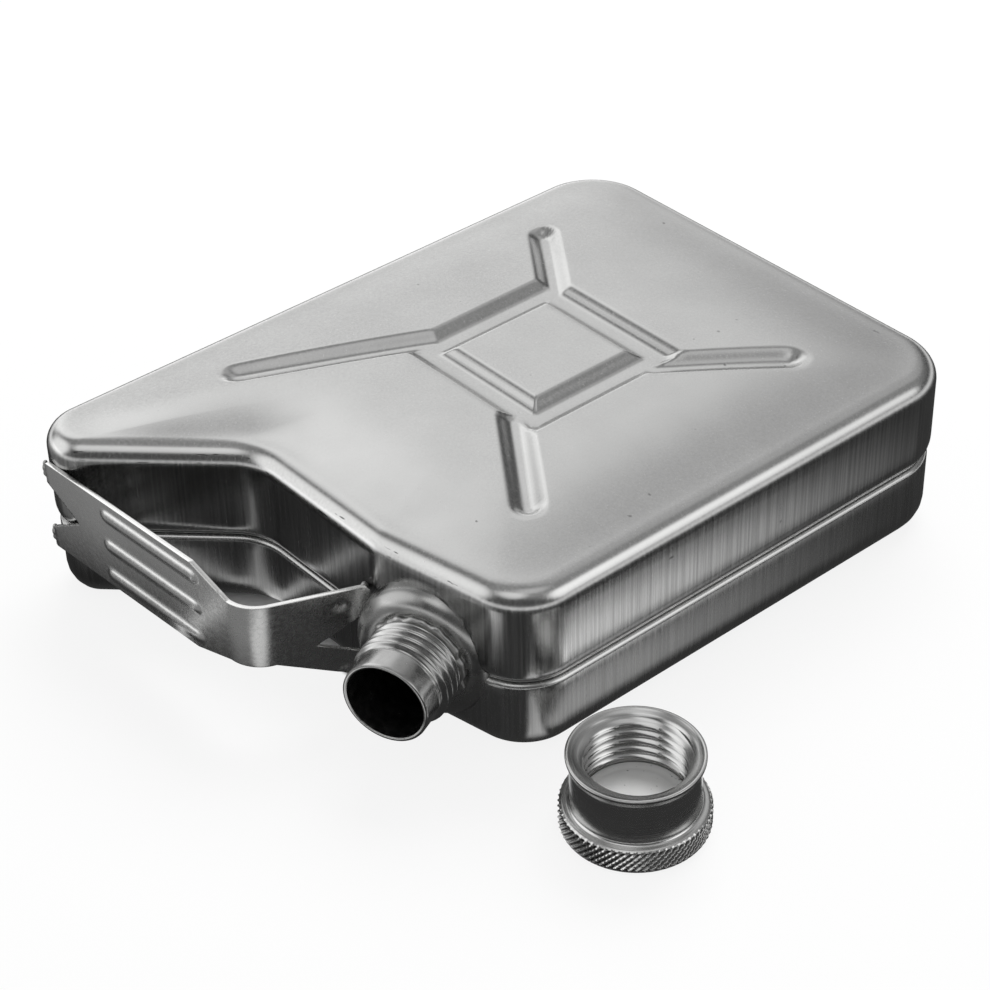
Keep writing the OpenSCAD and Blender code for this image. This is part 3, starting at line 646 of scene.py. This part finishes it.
def light_strip(x, y, way, width, strength, length, tail):
    """A strip of light on the floor: it runs one way for its length, then fades over its tail."""
    w = Vector(way).normalized()
    dx, dy = joined(tree, "SUBTRACT", floor_x, x), joined(tree, "SUBTRACT", floor_y, y)
    along = joined(tree, "ADD", joined(tree, "MULTIPLY", dx, w.x), joined(tree, "MULTIPLY", dy, w.y))
    across = joined(tree, "SUBTRACT", joined(tree, "MULTIPLY", dx, w.y), joined(tree, "MULTIPLY", dy, w.x))
    across = faded(tree, joined(tree, "ABSOLUTE", across), width / 2, width, 1, 0, soft=True)
    lit = joined(tree, "MULTIPLY", across, faded(tree, along, -0.002, 0.002, soft=True))
    lit = joined(tree, "MULTIPLY", lit, faded(tree, along, length, length + tail, 1, 0, soft=True))
    return joined(tree, "MULTIPLY", lit, strength)


def shaded_patch(left, right, near, far):
    """1 in a rectangle of the floor: each side is where its soft edge starts and ends."""
    patch = joined(tree, "MULTIPLY", faded(tree, floor_x, *left, soft=True),
                   faded(tree, floor_x, *right, 1, 0, soft=True))
    patch = joined(tree, "MULTIPLY", patch, faded(tree, floor_y, *near, soft=True))
    return joined(tree, "MULTIPLY", patch, faded(tree, floor_y, *far, 1, 0, soft=True))


glow = faded(tree, measured(tree, "DISTANCE", spot, (0.0, -0.01, 0.0)), 0.14, 0.4, 0.05, 1.0, soft=True)
for beam in STRIPS:
    glow = joined(tree, "ADD", glow, light_strip(*beam))
front = joined(tree, "MULTIPLY", faded(tree, floor_y, -0.092, -0.078, 1, 0, soft=True),
               faded(tree, floor_x, 0.04, 0.05, 1, 0, soft=True))
glow = joined(tree, "ADD", glow, joined(tree, "MULTIPLY", front, 0.30))
# inside the handle the floor lies in deep shade
shade = joined(tree, "MAXIMUM",
               shaded_patch((-0.032, -0.028), (0.0, 0.004), (-0.057, -0.054), (-0.042, -0.038)),
               shaded_patch((-0.006, -0.002), (0.014, 0.018), (-0.0515, -0.0505), (-0.042, -0.038)))
camera_white = joined(tree, "MULTIPLY", rays["Is Camera Ray"], WHITE_SHARE)
white, mirrored = tree.nodes.new("ShaderNodeEmission"), tree.nodes.new("ShaderNodeEmission")
white.inputs["Strength"].default_value = 1.0
tree.links.new(glow, mirrored.inputs["Strength"])


def blended(share, first, second):
    """Two surfaces, with this share of the second."""
    m = tree.nodes.new("ShaderNodeMixShader")
    for source, socket in zip((share, first, second), m.inputs):
        tree.links.new(source, socket)
    return m.outputs["Shader"]


seen = blended(joined(tree, "MULTIPLY", camera_white, joined(tree, "SUBTRACT", 1.0, shade)),
               plain.outputs["BSDF"], white.outputs["Emission"])
shiny = joined(tree, "MAXIMUM", rays["Is Glossy Ray"], rays["Is Transmission Ray"])
surface = blended(shiny, seen, mirrored.outputs["Emission"])
tree.links.new(surface, tree.nodes["Material Output"].inputs["Surface"])
floor.data.materials.append(paper)

# the camera stands where the flask's straight edges and circles put it
camera = bpy.data.objects.new("Camera", bpy.data.cameras.new("Camera"))
bpy.context.scene.collection.objects.link(camera)
camera.data.lens = 93.99
camera.data.sensor_width = 36
camera.data.clip_start = 0.01
right = Vector((0.65225, 0.75771, -0.02101))
up = Vector((-0.44287, 0.40343, 0.80069))
back = Vector((0.61517, -0.51295, 0.59871))
camera.matrix_world = (Matrix.Translation((0.2657, -0.2322, 0.2681))
                       @ Matrix((right, up, back)).transposed().to_4x4())
bpy.context.scene.camera = camera
bpy.context.scene.view_settings.view_transform = "Standard"

# the room as the metal sees it: each softbox is (direction, edge, core, strength)
ROOM_BASE, LAMP_ROOM = 0.10, 0.6
SOFTBOXES = [((-0.84, 0.38, 0.40), 0.79, 0.96, 0.88), ((-0.3, 0.62, 0.72), 0.925, 0.99, 0.25),
             ((0.15, -0.42, 0.88), 0.93, 0.985, 0.9), ((0.74, 0.42, 0.52), 0.90, 0.985, 1.5),
             ((-0.615, -0.68, 0.44), 0.80, 0.955, 1.3), ((0.1, 0.3, 1.0), 0.50, 0.92, 0.26),
             ((0.1, 0.1, 1.0), 0.95, 0.995, 0.45), ((-0.70, 0.15, 0.70), 0.955, 0.992, 0.4),
             ((-0.91, 0.15, 0.39), 0.965, 0.995, 0.5)]
world = bpy.data.worlds.new("Studio")
bpy.context.scene.world = world
world.use_nodes = True
tree = world.node_tree
look = tree.nodes.new("ShaderNodeTexCoord").outputs["Generated"]
rays = tree.nodes.new("ShaderNodeLightPath").outputs
room = ROOM_BASE
for way, edge, core, strength in SOFTBOXES:
    facing = measured(tree, "DOT_PRODUCT", look, Vector(way).normalized())
    room = joined(tree, "ADD", faded(tree, facing, edge, core, 0.0, strength, soft=True), room)
# a pale band along the horizon
room = joined(tree, "ADD", faded(tree, axes(tree, look)["Z"], 0.07, 0.19, 0.85, 0.0, soft=True), room)
mirror_ray = joined(tree, "MAXIMUM", rays["Is Glossy Ray"], rays["Is Transmission Ray"])
camera_ray = rays["Is Camera Ray"]
other = joined(tree, "SUBTRACT", joined(tree, "SUBTRACT", 1.0, mirror_ray), camera_ray)
total = joined(tree, "ADD", joined(tree, "MULTIPLY", room, mirror_ray), camera_ray)
total = joined(tree, "ADD", total, joined(tree, "MULTIPLY", other, LAMP_ROOM))
sky = tree.nodes["Background"]
sky.inputs["Color"].default_value = (1, 1, 1, 1)
tree.links.new(total, sky.inputs["Strength"])

lamp = bpy.data.lights.new("Softbox", "AREA")
lamp.shape = "RECTANGLE"
lamp.size = 0.7
lamp.size_y = 0.6
lamp.energy = 9
softbox = bpy.data.objects.new("Softbox", lamp)
bpy.context.scene.collection.objects.link(softbox)
softbox.location = (-0.3, 0.5, 0.75)
softbox.rotation_euler = (-softbox.location).to_track_quat("-Z", "Y").to_euler()
softbox.visible_glossy = False
